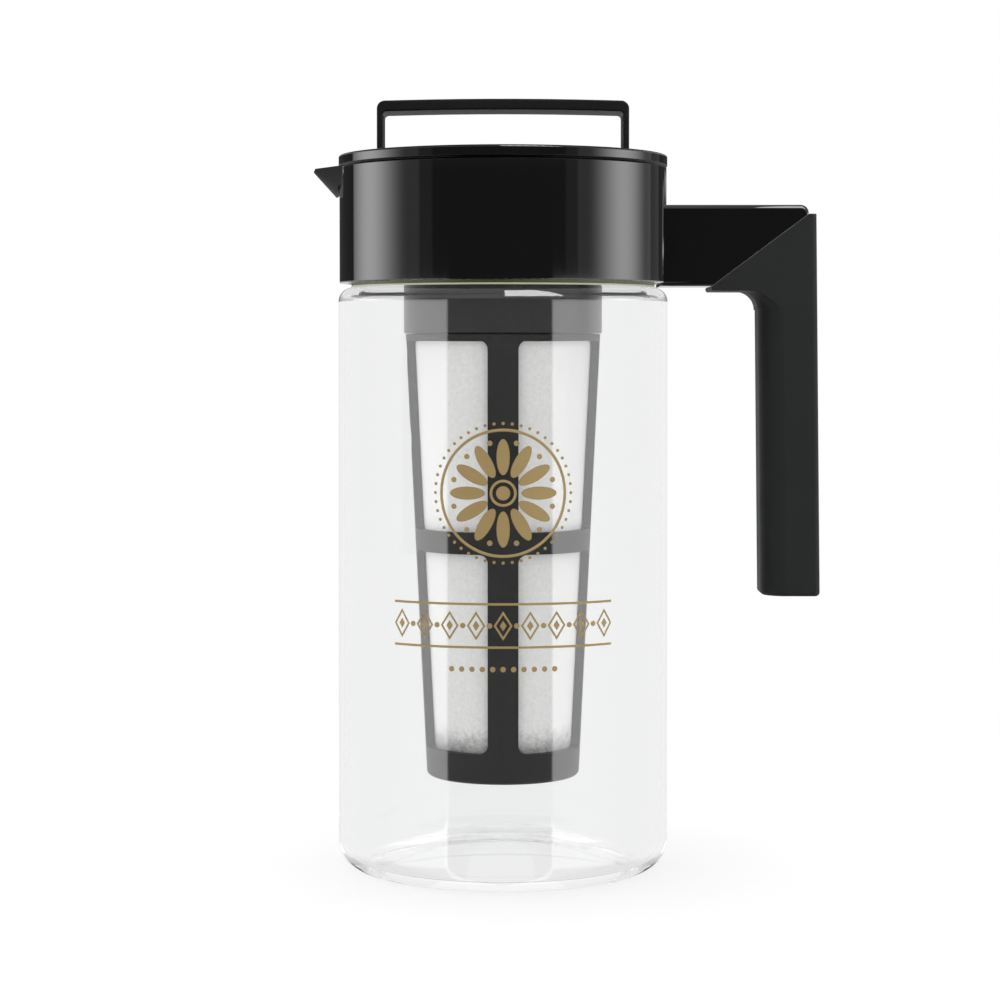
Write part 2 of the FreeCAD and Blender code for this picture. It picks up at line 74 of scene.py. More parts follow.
# Collar and lid
COLLAR_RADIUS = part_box("collar")[1].y
LID_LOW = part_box("lid_cover")[0].z
LID_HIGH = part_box("lid_cover")[1].z
LID_SEAM = 0.2 * MM           # between the collar's top and the lid
COLLAR_TOP = LID_LOW - LID_SEAM
BEAK_DEPTH = 9 * MM
BEAK_ROOT = COLLAR_TOP - BEAK_DEPTH
GLOSS_DARK = (0.0035, 0.0035, 0.0035)
GLOSS_LIGHT = (0.005, 0.005, 0.005)
GLOSS_ROUGHNESS = 0.035
SATIN_ROUGHNESS = 0.55
# tone of the dark satin zones, which with Metallic at 1 reflect almost nothing: painted shade
SATIN_SHADE_TONE = (0.0012, 0.0014, 0.0012)

# Where the gloss turns to dark satin whose reflection is put out as painted shade: each pair is the start and
# the end of the change, from an edge inwards
BEAK_SIDE = (0.5 * MM, 0.2 * MM)
ROOT_SIDE = (1.9 * MM, 1.6 * MM)
ROOT_FADE = 1 * MM
COLLAR_ROUND = (0.5 * MM, 0.35 * MM)
LID_LOWER_ROUND = (0.5 * MM, 0.3 * MM)
LID_UPPER_ROUND = (0.3 * MM, 0.06 * MM)
LID_ROUND_FADE = 0.04 * MM

# Mesh
WARP_COUNT = 380              # threads round the mesh
WEFT_PITCH = 0.42 * MM
WEAVE_SHARE = 0.2             # of the weave in the cloth's tone, beside the grain
FOOT_DARKENING_HEIGHT = 13 * MM
FOOT_DARKENING_LEVEL = 0.25
FOOT_DARKENING_MARGIN = 1.5            # lightness at the darkening's upper end, past 1 so that no speck shows above it
FOOT_DARKENING_SPECKS = 1.6            # how much the specks break up the darkening

# Seal
SEAL_HIGHLIGHT_TOP = SHOULDER_HEIGHT + 0.45 * MM    # top of the painted highlight along the seal's lower edge, where it lies on the shoulder
SEAL_HIGHLIGHT_FADE = 0.05 * MM
SEAL_HIGHLIGHT_COLOUR = (0.55, 0.56, 0.42)

# Print on the jug's front
PRINT_LIFT = 0.01 * MM
PRINT_DEPTH = 0.02 * MM
ROSETTE_HEIGHT = 116 * MM
ROSETTE_RADIUS = 18.5 * MM
PETAL_COUNT = 12
PETAL_HALF_LENGTH = 5.2 * MM
PETAL_HALF_WIDTH = 1.9 * MM
PETAL_PLACE = 0.56            # these five are shares of the rosette's radius
BEAD_PLACE = 0.8
HEART_RADIUS = 0.11
INNER_HOOP_RADIUS = 0.21
RIM_BEAD_PLACE = 1.08
INNER_HOOP_WIDTH = 0.2        # hoop widths are shares of the hoops' own radii
OUTER_HOOP_WIDTH = 0.045
RIM_BEADS_PER_PETAL = 4
RIM_BEAD_SCALE = 0.6
FRIEZE_HEIGHT = 78 * MM
FRIEZE_PITCH = 7.8 * MM
FRIEZE_COUNT = 9
LOZENGE_HALF_WIDTH = 2.7 * MM
LOZENGE_HALF_HEIGHT = 4.2 * MM
LOZENGE_BORDER = 0.5          # width of its border, as a share of its size
KERNEL_SCALE = (0.36, 0.36, 1)
BEAD_RADIUS = 0.8 * MM
RULE_OFFSET = 6.2 * MM
RULE_HALF_HEIGHT = 0.34 * MM
FOOT_ROW_HEIGHT = 65.5 * MM
FOOT_ROW_PITCH = 3.0 * MM
FOOT_ROW_COUNT = 11

# Threads
THREAD_PITCH = 3.2 * MM
THREAD_RISE = 0.6 * MM
THREAD_BITE = 0.05 * MM       # how deep the ridges' roots stand in their walls
THREAD_ROOT = 1.5 * MM
THREAD_CREST = 0.6 * MM
THREAD_STEPS = 120            # along each turn
THREAD_CORNERS = 5            # of the ridge's section, the last on the first
THREAD_FADE = 9               # the ridge is at full height after one part in so many of its length
NECK_RADIUS = 27.2 * MM
NECK_WALL = 2.3 * MM
NECK_START = 1.4 * MM         # from the frame's shoulder up to the first ridge
NECK_TURNS = 1.5
NECK_LENGTH = 7.9 * MM
SOCKET_BORE = 28.1 * MM
SOCKET_TURNS = 1.25
WASHER_RADIUS = 27.3 * MM     # clears the socket's ridge
WASHER_BORE_ROUND = 0.3 * MM
WASHER_ROUND = 0.5 * MM

# Camera and studio
CAMERA_PLACE = Vector((-0.9 * MM, -811 * MM, 156.8 * MM))
CAMERA_PITCH = math.radians(1.075)
CAMERA_LENS = 95.94
CAMERA_SENSOR = 36.0
CAMERA_DROP = -0.09945
CAMERA_CLIP = (0.05, 30)
FLOOR_RADIUS = 0.34
FLOOR_LIFT = 0.12             # added to the floor's tone for the eye only


# ---------------------------------------------------------------- node helpers

def add(tree, kind, inputs=None, **settings):
    """Adds a node; inputs maps a socket's name or index to a value or to a socket that feeds it."""
    made = tree.nodes.new(kind)
    for name, value in settings.items():
        setattr(made, name, value)
    for key, value in (inputs or {}).items():
        if isinstance(value, bpy.types.NodeSocket):
            tree.links.new(value, made.inputs[key])
        else:
            made.inputs[key].default_value = value
    return made


def math_op(tree, operation, first, second=0.0, third=0.0):
    inputs = {0: first, 1: second, 2: third}
    return add(tree, "ShaderNodeMath", inputs, operation=operation).outputs[0]


def object_place(tree):
    return add(tree, "ShaderNodeTexCoord").outputs["Object"]


def noise(tree, place, scale, detail=2.0, roughness=0.5):
    inputs = {"Vector": place, "Scale": scale, "Detail": detail, "Roughness": roughness}
    return add(tree, "ShaderNodeTexNoise", inputs).outputs["Fac"]


def stretched(tree, place, scale):
    return add(tree, "ShaderNodeMapping", {"Vector": place, "Scale": scale}).outputs["Vector"]


def between(tree, share, low, high):
    """Number that goes from low to high as share goes from 0 to 1."""
    inputs = {"Value": share, "To Min": low, "To Max": high}
    return add(tree, "ShaderNodeMapRange", inputs).outputs["Result"]


def ramp(tree, value, ends, low=0.0, high=1.0, course="LINEAR"):
    """Goes from low to high as the value goes from the first end to the second."""
    inputs = {"Value": value, "From Min": ends[0], "From Max": ends[1], "To Min": low, "To Max": high}
    return add(tree, "ShaderNodeMapRange", inputs, interpolation_type=course).outputs[0]


def window(tree, value, span, fade):
    """1 between the span's ends, falling to 0 over the fade on both sides."""
    rise = ramp(tree, value, (span[0] - fade, span[0]))
    fall = ramp(tree, value, (span[1] + fade, span[1]))
    return math_op(tree, "MULTIPLY", rise, fall)


def mixed_numbers(tree, share, first, second):
    return add(tree, "ShaderNodeMix", {0: share, 2: first, 3: second}, data_type="FLOAT").outputs[0]


def blend_colours(tree, share, low, high):
    """Goes from one colour, given as three numbers or as a socket, to another as share goes from 0 to 1."""
    ends = [end if isinstance(end, bpy.types.NodeSocket) else (*end, 1) for end in (low, high)]
    return add(tree, "ShaderNodeMix", {0: share, 6: ends[0], 7: ends[1]}, data_type="RGBA").outputs[2]


def bumped(tree, height, depth, strength=1.0, under=None):
    inputs = {"Height": height, "Distance": depth, "Strength": strength}
    if under:
        inputs["Normal"] = under
    return add(tree, "ShaderNodeBump", inputs).outputs["Normal"]


def new_finish(name):
    material = bpy.data.materials.new(name)
    material.use_nodes = True
    tree = material.node_tree
    tree.nodes.clear()
    shader = add(tree, "ShaderNodeBsdfPrincipled")
    out = add(tree, "ShaderNodeOutputMaterial", {"Surface": shader.outputs[0]})
    return material, tree, shader, out


def feed(tree, shader, **values):
    """Sets or links the shader's sockets, named with underscores for spaces."""
    for name, value in values.items():
        socket = shader.inputs[name.replace("_", " ")]
        if isinstance(value, bpy.types.NodeSocket):
            tree.links.new(value, socket)
        else:
            socket.default_value = value


# ---------------------------------------------------------------- finishes

def beak_zone(tree, split):
    """1 on the beak and its root, and on the small round at the collar's top, where the gloss is put out as
    painted shade.
    """
    side = split.outputs["X"]
    height = split.outputs["Z"]
    beyond = ramp(tree, side, [inwards - COLLAR_RADIUS for inwards in BEAK_SIDE])
    near = ramp(tree, side, [inwards - COLLAR_RADIUS for inwards in ROOT_SIDE])
    root = math_op(tree, "MULTIPLY", near, ramp(tree, height, (BEAK_ROOT - ROOT_FADE, BEAK_ROOT)))
    top = ramp(tree, height, [COLLAR_TOP - inwards for inwards in COLLAR_ROUND])
    return math_op(tree, "MAXIMUM", math_op(tree, "MAXIMUM", beyond, root), top)


def lid_edge_zone(tree, split):
    """1 on the small rounds at the flange's lower and upper edges, where the gloss is put out as painted
    shade.
    """
    height = split.outputs["Z"]
    lower = ramp(tree, height, [LID_LOW + inwards for inwards in LID_LOWER_ROUND])
    upper = window(tree, height, [LID_HIGH - inwards for inwards in LID_UPPER_ROUND], LID_ROUND_FADE)
    return math_op(tree, "MAXIMUM", lower, upper)


def gloss_plastic(name, shade_zone):
    """Polished black moulding with flow marks and hairline scratches, and a zone of dark satin whose
    reflection is put out as painted shade.
    """
    material, tree, shader, _ = new_finish(name)
    place = object_place(tree)
    flow = noise(tree, place, 40, 3)
    hair = noise(tree, stretched(tree, place, (900, 900, 60)), 1, 2)
    peel = noise(tree, place, 260, 2)
    spark = noise(tree, place, 1500, 3, 0.6)
    zone = shade_zone(tree, add(tree, "ShaderNodeSeparateXYZ", {"Vector": place}))
    polish = between(tree, hair, GLOSS_ROUGHNESS * 0.7, GLOSS_ROUGHNESS * 1.3)
    satin = between(tree, spark, SATIN_ROUGHNESS - 0.06, SATIN_ROUGHNESS + 0.06)
    gloss = blend_colours(tree, flow, GLOSS_DARK, GLOSS_LIGHT)
    # In the zone the dark tone with Metallic at 1 puts out the reflection: painted shade.
    feed(tree, shader, Base_Color=blend_colours(tree, zone, gloss, SATIN_SHADE_TONE), IOR=1.5, Metallic=zone,
         Roughness=mixed_numbers(tree, zone, polish, satin),
         Normal=bumped(tree, peel, 0.0015 * MM, 0.3))
    return material


def soft_touch(name):
    """Matt rubber skin with a fine even grain that catches a little light at grazing angles."""
    material, tree, shader, _ = new_finish(name)
    place = object_place(tree)
    grain = noise(tree, place, 2600, 2, 0.6)
    patch = noise(tree, place, 55, 4)
    tone = blend_colours(tree, patch, (0.0055, 0.0065, 0.006), (0.0085, 0.0098, 0.009))
    feed(tree, shader, Base_Color=tone, Roughness=between(tree, patch, 0.55, 0.68), IOR=1.45,
         Specular_IOR_Level=0.2, Sheen_Weight=0.04, Sheen_Roughness=0.4,
         Normal=bumped(tree, grain, 0.03 * MM, 0.5))
    return material


def satin_plastic(name, dark, light, roughness, gloss=0.5, grain=0.4):
    """Spark-eroded moulding texture, as on inner parts."""
    material, tree, shader, _ = new_finish(name)
    place = object_place(tree)
    spark = noise(tree, place, 1500, 3, 0.6)
    flow = noise(tree, place, 70, 3)
    feed(tree, shader, Base_Color=blend_colours(tree, flow, dark, light), IOR=1.38, Specular_IOR_Level=gloss,
         Roughness=between(tree, spark, roughness - 0.06, roughness + 0.08),
         Normal=bumped(tree, spark, 0.015 * MM, grain))
    return material


def silicone(name, dark, light, scatter, painted_band=None):
    """Slightly cloudy rubber; a painted highlight, as (height, colour), gives what lies lower a pale colour
    of its own.
    """
    material, tree, shader, _ = new_finish(name)
    place = object_place(tree)
    cloud = noise(tree, place, 120, 3)
    dry = noise(tree, place, 1800, 2)
    tone = blend_colours(tree, cloud, dark, light)
    # painted highlight: a pale band under the given height
    if painted_band:
        height = add(tree, "ShaderNodeSeparateXYZ", {"Vector": place}).outputs["Z"]
        below = ramp(tree, height, (painted_band[0] + SEAL_HIGHLIGHT_FADE, painted_band[0] - SEAL_HIGHLIGHT_FADE))
        tone = blend_colours(tree, below, tone, painted_band[1])
    feed(tree, shader, Base_Color=tone, IOR=1.41,
         Roughness=between(tree, dry, 0.32, 0.46), Subsurface_Weight=scatter, Subsurface_Scale=1.2 * MM,
         Normal=bumped(tree, dry, 0.01 * MM, 0.3))
    return material


def clear_plastic(name):
    """Clear jug wall: light from lamps and soft light pass straight through to what is inside."""
    material, tree, shader, out = new_finish(name)
    place = object_place(tree)
    wave = noise(tree, stretched(tree, place, (1, 1, 0.35)), 28, 1)
    hair = noise(tree, stretched(tree, place, (700, 700, 45)), 1, 2)
    across = stretched(tree, place, (1, 1, 0))
    radius = add(tree, "ShaderNodeVectorMath", {0: across}, operation="LENGTH").outputs["Value"]
    outer = ramp(tree, radius, (JUG_RADIUS - JUG_WALL, JUG_RADIUS - JUG_WALL / 2))
    feed(tree, shader, Base_Color=(0.97, 0.975, 0.973, 1), IOR=1.03, Transmission_Weight=1.0,
         Coat_Weight=outer, Coat_IOR=1.6, Coat_Roughness=0.0,
         Roughness=between(tree, hair, 0.0, 0.02), Normal=bumped(tree, wave, 0.12 * MM, 0.2))
    path = add(tree, "ShaderNodeLightPath")
    lit = math_op(tree, "MAXIMUM", path.outputs["Is Shadow Ray"], path.outputs["Is Diffuse Ray"])
    dome = ramp(tree, radius, (JUG_RADIUS - JUG_CORNER, FOOT_INNER), 0.0, DOME_CLARITY)
    through = math_op(tree, "MAXIMUM", lit, dome)
    straight = add(tree, "ShaderNodeBsdfTransparent", {"Color": (0.985, 0.985, 0.985, 1)})
    mixed = add(tree, "ShaderNodeMixShader", {0: through, 1: shader.outputs[0], 2: straight.outputs[0]})
    tree.links.new(mixed.outputs[0], out.inputs["Surface"])
    return material


def gold_print(name):
    """Screen-printed ink: matt gold with fine speckle and thin spots."""
    material, tree, shader, _ = new_finish(name)
    place = object_place(tree)
    speckle = noise(tree, place, 2200, 3, 0.7)
    thin = noise(tree, place, 300, 2)
    feed(tree, shader, Base_Color=blend_colours(tree, speckle, (0.225, 0.155, 0.055), (0.30, 0.21, 0.08)),
         Roughness=between(tree, thin, 0.5, 0.62), Metallic=0.15,
         Normal=bumped(tree, speckle, 0.01 * MM, 0.4))
    return material


def woven_mesh(name, low, high):
    """Fine plain weave about the jug's axis, darker in specks and patches towards the foot."""
    material, tree, shader, _ = new_finish(name)
    place = object_place(tree)
    split = add(tree, "ShaderNodeSeparateXYZ", {"Vector": place})
    angle = math_op(tree, "ARCTAN2", split.outputs["Y"], split.outputs["X"])
    warp = math_op(tree, "SINE", math_op(tree, "MULTIPLY", angle, WARP_COUNT))
    weft = math_op(tree, "SINE", math_op(tree, "MULTIPLY", split.outputs["Z"], TURN / WEFT_PITCH))
    weave = math_op(tree, "MULTIPLY", warp, weft)
    grain = noise(tree, place, 900, 4, 0.8)
    patch = noise(tree, place, 420, 5, 0.85)
    bright = math_op(tree, "ADD", math_op(tree, "MULTIPLY", weave, WEAVE_SHARE), grain)
    cloth = blend_colours(tree, ramp(tree, bright, (0.2, 0.8)), (0.68, 0.69, 0.68), (0.92, 0.92, 0.91))
    foot_rise = ramp(tree, split.outputs["Z"], (low, high), 0.0, FOOT_DARKENING_MARGIN)
    specks = math_op(tree, "MULTIPLY", math_op(tree, "SUBTRACT", patch, 0.5), FOOT_DARKENING_SPECKS)
    kept = between(tree, math_op(tree, "ADD", foot_rise, specks), FOOT_DARKENING_LEVEL, 1.0)
    shaded = add(tree, "ShaderNodeVectorMath", {0: cloth, "Scale": kept}, operation="SCALE")
    feed(tree, shader, Base_Color=shaded.outputs[0], Roughness=0.8, Alpha=0.92,
         Normal=bumped(tree, weave, 0.05 * MM, 0.5))
    return material


def plated_steel(name):
    material, tree, shader, _ = new_finish(name)
    place = object_place(tree)
    turned_marks = noise(tree, stretched(tree, place, (400, 400, 2400)), 1, 2)
    feed(tree, shader, Base_Color=(0.62, 0.62, 0.60, 1), Metallic=1.0,
         Roughness=between(tree, turned_marks, 0.25, 0.42))
    return material


MESH_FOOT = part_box("lower_mesh")[0].z
FINISHES = {
    "clear_jug": clear_plastic("clear_jug_wall"),
    "gloss_black": gloss_plastic("collar_gloss", beak_zone),
    "lid_gloss": gloss_plastic("lid_gloss", lid_edge_zone),
    "soft_black": soft_touch("soft_black_grip"),
    "olive_seal": silicone("olive_silicone", (0.030, 0.040, 0.003), (0.050, 0.064, 0.007), 0.05,
                           (SEAL_HIGHLIGHT_TOP, SEAL_HIGHLIGHT_COLOUR)),
    "pale_silicone": silicone("pale_silicone", (0.62, 0.62, 0.58), (0.76, 0.76, 0.73), 0.3),
    "lid_arch": satin_plastic("lid_arch_moulding", (0.006, 0.006, 0.006), (0.009, 0.009, 0.009), 0.42, 0.12),
    "stopper_black": satin_plastic("stopper_moulding", (0.010, 0.010, 0.010), (0.014, 0.014, 0.014),
                                   0.3, 0.75, 0.05),
    "filter_black": satin_plastic("filter_moulding", (0.010, 0.010, 0.010), (0.016, 0.016, 0.016), 0.5),
    "white_mesh": woven_mesh("woven_filter_mesh", MESH_FOOT, MESH_FOOT + FOOT_DARKENING_HEIGHT),
    "core_plastic": satin_plastic("core_moulding", (0.05, 0.05, 0.05), (0.075, 0.075, 0.075), 0.5),
    "screw_steel": plated_steel("screw_plating"),
}
GOLD = gold_print("gold_ink")

BODY_OF = {node: body for body, nodes in frame["record"]["behaviour"]["bodies"].items() for node in nodes}
SLOT_OF = {part["node"]: part["material_slot"] for part in frame["record"]["subparts"]}


# ---------------------------------------------------------------- mesh helpers

def place_piece(name, mesh, material):
    piece = bpy.data.objects.new(name, mesh)
    bpy.context.scene.collection.objects.link(piece)
    mesh.materials.clear()
    mesh.materials.append(material)
    return piece


def settle(piece, body, slot, *nodes):
    """Lets a finished piece ride its body and stand for the nodes named; the slot is not used."""
    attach(piece, body)
    if nodes:
        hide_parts(*nodes)
    return piece


def faces_outward(mesh):
    work = bmesh.new()
    work.from_mesh(mesh)
    bmesh.ops.remove_doubles(work, verts=work.verts, dist=0.001 * MM)
    bmesh.ops.recalc_face_normals(work, faces=work.faces)
    work.to_mesh(mesh)
    work.free()


def weigh_normals(piece):
    """Keeps broad faces flat where they run into small rounds."""
    weight = piece.modifiers.new("weight", "WEIGHTED_NORMAL")
    weight.keep_sharp = True
    weight.weight = 100


def level_walls(piece):
    """Makes the shading of upright faces exactly level, so that long reflections run straight."""
    ready = piece.evaluated_get(bpy.context.evaluated_depsgraph_get())
    mesh = bpy.data.meshes.new_from_object(ready)
    normals = [corner.vector.copy() for corner in mesh.corner_normals]
    for face in mesh.polygons:
        if abs(face.normal.z) > UPRIGHT_SLOPE:
            continue
        for corner in face.loop_indices:
            normals[corner].z = 0
            normals[corner].normalize()
    mesh.normals_split_custom_set(normals)
    piece.modifiers.clear()
    piece.data = mesh


def refined(name, node, finish=None):
    """The solid's own shape as one merged, smoothly shaded surface with crisp edges."""
    mesh = frame["nodes"][node].data.copy()
    work = bmesh.new()
    work.from_mesh(mesh)
    bmesh.ops.remove_doubles(work, verts=work.verts, dist=0.002 * MM)
    bmesh.ops.dissolve_degenerate(work, edges=work.edges, dist=0.001 * MM)
    bmesh.ops.dissolve_limit(work, angle_limit=math.radians(0.2), verts=work.verts, edges=work.edges)
    work.to_mesh(mesh)
    work.free()
    piece = place_piece(name, mesh, FINISHES[finish or SLOT_OF[node]])
    mesh.shade_smooth()
    mesh.set_sharp_from_angle(angle=math.radians(SHARP_ANGLE))
    weigh_normals(piece)
    level_walls(piece)
    return settle(piece, BODY_OF[node], SLOT_OF[node], node)


def rounded_profile(corners, steps=9):
    """Points (radius, height) through corners (radius, height[, round]), closed back to the first."""
    flat = [Vector((corner[0], corner[1])) for corner in corners]
    points = []
    for i, corner in enumerate(corners):
        here = flat[i]
        if len(corner) < 3:
            points.append(here)
            continue
        back = (flat[i - 1] - here).normalized()
        ahead = (flat[(i + 1) % len(flat)] - here).normalized()
        half = back.angle(ahead) / 2
        centre = here + (back + ahead).normalized() * (corner[2] / math.sin(half))
        start = here + back * (corner[2] / math.tan(half)) - centre
        sweep = -start.angle_signed(here + ahead * (corner[2] / math.tan(half)) - centre)
        for step in range(steps + 1):
            turned = start.copy()
            turned.rotate(Matrix.Rotation(sweep * step / steps, 2))
            points.append(centre + turned)
    return points


# ---------------------------------------------------------------- geometry trees

def new_geometry_tree(name, sizes):
    """Tree with a geometry in and out and one named input for each size."""
    tree = bpy.data.node_groups.new(name, "GeometryNodeTree")
    face = tree.interface
    face.new_socket("Geometry", in_out="INPUT", socket_type="NodeSocketGeometry")
    face.new_socket("Geometry", in_out="OUTPUT", socket_type="NodeSocketGeometry")
    for label, value in sizes.items():
        kind = "NodeSocketInt" if isinstance(value, int) else "NodeSocketFloat"
        face.new_socket(label, in_out="INPUT", socket_type=kind).default_value = value
    face.new_socket("Finish", in_out="INPUT", socket_type="NodeSocketMaterial")
    return tree, add(tree, "NodeGroupInput").outputs


def close_tree(tree, geometry, entry):
    real = add(tree, "GeometryNodeRealizeInstances", {"Geometry": geometry})
    done = add(tree, "GeometryNodeSetMaterial", {"Geometry": real.outputs[0], "Material": entry["Finish"]})
    add(tree, "NodeGroupOutput", {"Geometry": done.outputs[0]})


def grown(name, tree, mesh, values, material):
    """Runs a geometry tree on a mesh and returns a plain mesh object with the result."""
    seed = bpy.data.objects.new(name + "_seed", mesh)
    bpy.context.scene.collection.objects.link(seed)
    modifier = seed.modifiers.new("shape", "NODES")
    modifier.node_group = tree
    for item in tree.interface.items_tree:
        if item.in_out == "INPUT" and item.name in values:
            modifier[item.identifier] = values[item.name]
        if item.in_out == "INPUT" and item.name == "Finish":
            modifier[item.identifier] = material
    ready = seed.evaluated_get(bpy.context.evaluated_depsgraph_get())
    result = bpy.data.meshes.new_from_object(ready)
    bpy.data.objects.remove(seed)
    return place_piece(name, result, material)


def grid_place(tree, index, rows):
    """Column and row of a grid's point, which are numbered column by column."""
    column = math_op(tree, "FLOOR", math_op(tree, "DIVIDE", math_op(tree, "ADD", index, 0.5), rows))
    return column, math_op(tree, "SUBTRACT", index, math_op(tree, "MULTIPLY", column, rows))


def turned_tree():
    """Turns a profile, given as points (radius, 0, height), once round the Z axis."""
    tree, entry = new_geometry_tree("turned_piece", {"Segments": 96})
    count = add(tree, "GeometryNodeAttributeDomainSize", {0: entry["Geometry"]}).outputs["Point Count"]
    rounds = math_op(tree, "ADD", entry["Segments"], 1)
    grid = add(tree, "GeometryNodeMeshGrid", {"Vertices X": rounds, "Vertices Y": count})
    index = add(tree, "GeometryNodeInputIndex").outputs[0]
    column, row = grid_place(tree, index, count)
    profile = add(tree, "GeometryNodeInputPosition").outputs[0]
    sample = add(tree, "GeometryNodeSampleIndex", data_type="FLOAT_VECTOR")
    tree.links.new(entry["Geometry"], sample.inputs["Geometry"])
    tree.links.new(profile, sample.inputs["Value"])
    tree.links.new(row, sample.inputs["Index"])
    split = add(tree, "ShaderNodeSeparateXYZ", {0: sample.outputs[0]})
    angle = math_op(tree, "MULTIPLY", math_op(tree, "DIVIDE", column, entry["Segments"]), TURN)
    across = math_op(tree, "MULTIPLY", split.outputs["X"], math_op(tree, "COSINE", angle))
    along = math_op(tree, "MULTIPLY", split.outputs["X"], math_op(tree, "SINE", angle))
    spot = add(tree, "ShaderNodeCombineXYZ", {0: across, 1: along, 2: split.outputs["Z"]})
    shaped = add(tree, "GeometryNodeSetPosition", {"Geometry": grid.outputs[0], "Position": spot.outputs[0]})
    sealed = add(tree, "GeometryNodeMergeByDistance", {"Geometry": shaped.outputs[0], "Distance": 0.001 * MM})
    close_tree(tree, sealed.outputs[0], entry)
    return tree


TURNED = turned_tree()


def turned_piece(name, corners, material, segments=160, sharp=40.0):
    points = rounded_profile(corners)
    points.append(points[0])
    outline = bpy.data.meshes.new(name + "_outline")
    outline.from_pydata([(p.x, 0, p.y) for p in points], [], [])
    piece = grown(name, TURNED, outline, {"Segments": segments}, material)
    faces_outward(piece.data)
    piece.data.shade_smooth()
    piece.data.set_sharp_from_angle(angle=math.radians(sharp))
    weigh_normals(piece)
    level_walls(piece)
    return piece


def row_of_points(tree, count, first, pitch):
    start = add(tree, "ShaderNodeCombineXYZ", {0: first}).outputs[0]
    step = add(tree, "ShaderNodeCombineXYZ", {0: pitch}).outputs[0]
    inputs = {"Count": count, "Start Location": start, "Offset": step}
    return add(tree, "GeometryNodeMeshLine", inputs, mode="OFFSET").outputs[0]


def ring_of_points(tree, count, radius):
    inputs = {"Vertices": count, "Radius": radius}
    return add(tree, "GeometryNodeMeshCircle", inputs, fill_type="NONE").outputs[0]


def stamped(tree, points, shape, scale=(1, 1, 1), turn=None):
    """Puts the shape on each point."""
    inputs = {"Points": points, "Instance": shape, "Scale": scale}
    if turn:
        inputs["Rotation"] = turn
    placed = add(tree, "GeometryNodeInstanceOnPoints", inputs)
    return add(tree, "GeometryNodeRealizeInstances", {"Geometry": placed.outputs[0]}).outputs[0]


def disc(tree, sides, radius):
    inputs = {"Vertices": sides, "Radius": radius}
    return add(tree, "GeometryNodeMeshCircle", inputs, fill_type="NGON").outputs[0]


def hoop(tree, sides, radius, share):
    """Flat ring whose width is a share of its radius."""
    edge = ring_of_points(tree, sides, radius)
    wide = add(tree, "GeometryNodeExtrudeMesh", {"Mesh": edge, "Offset Scale": -share}, mode="EDGES")
    tree.links.new(add(tree, "GeometryNodeInputPosition").outputs[0], wide.inputs["Offset"])
    return wide.outputs[0]


def joined(tree, parts):
    node = add(tree, "GeometryNodeJoinGeometry")
    for part in parts:
        tree.links.new(part, node.inputs[0])
    return node.outputs[0]


def printed(tree, entry, flat):
    """Gives flat marks their thickness and lays them round the jug's wall."""
    depth = add(tree, "ShaderNodeCombineXYZ", {2: entry["Depth"]}).outputs[0]
    skin = add(tree, "GeometryNodeExtrudeMesh", {"Mesh": flat, "Offset": depth, "Offset Scale": 1.0,
                                                 "Individual": False}, mode="FACES")
    back = add(tree, "GeometryNodeFlipFaces", {"Mesh": flat})
    whole = joined(tree, (skin.outputs[0], back.outputs[0]))
    sealed = add(tree, "GeometryNodeMergeByDistance", {"Geometry": whole, "Distance": 0.0005 * MM})
    here = add(tree, "ShaderNodeSeparateXYZ", {0: add(tree, "GeometryNodeInputPosition").outputs[0]})
    angle = math_op(tree, "DIVIDE", here.outputs["X"], entry["Radius"])
    reach = math_op(tree, "ADD", entry["Radius"], here.outputs["Z"])
    wrapped = add(tree, "ShaderNodeCombineXYZ", {
        0: math_op(tree, "MULTIPLY", reach, math_op(tree, "SINE", angle)),
        1: math_op(tree, "MULTIPLY", math_op(tree, "MULTIPLY", reach, math_op(tree, "COSINE", angle)), -1),
        2: math_op(tree, "ADD", here.outputs["Y"], entry["Height"])})
    bent = add(tree, "GeometryNodeSetPosition",
               {"Geometry": sealed.outputs[0], "Position": wrapped.outputs[0]})
    close_tree(tree, bent.outputs[0], entry)
    return tree


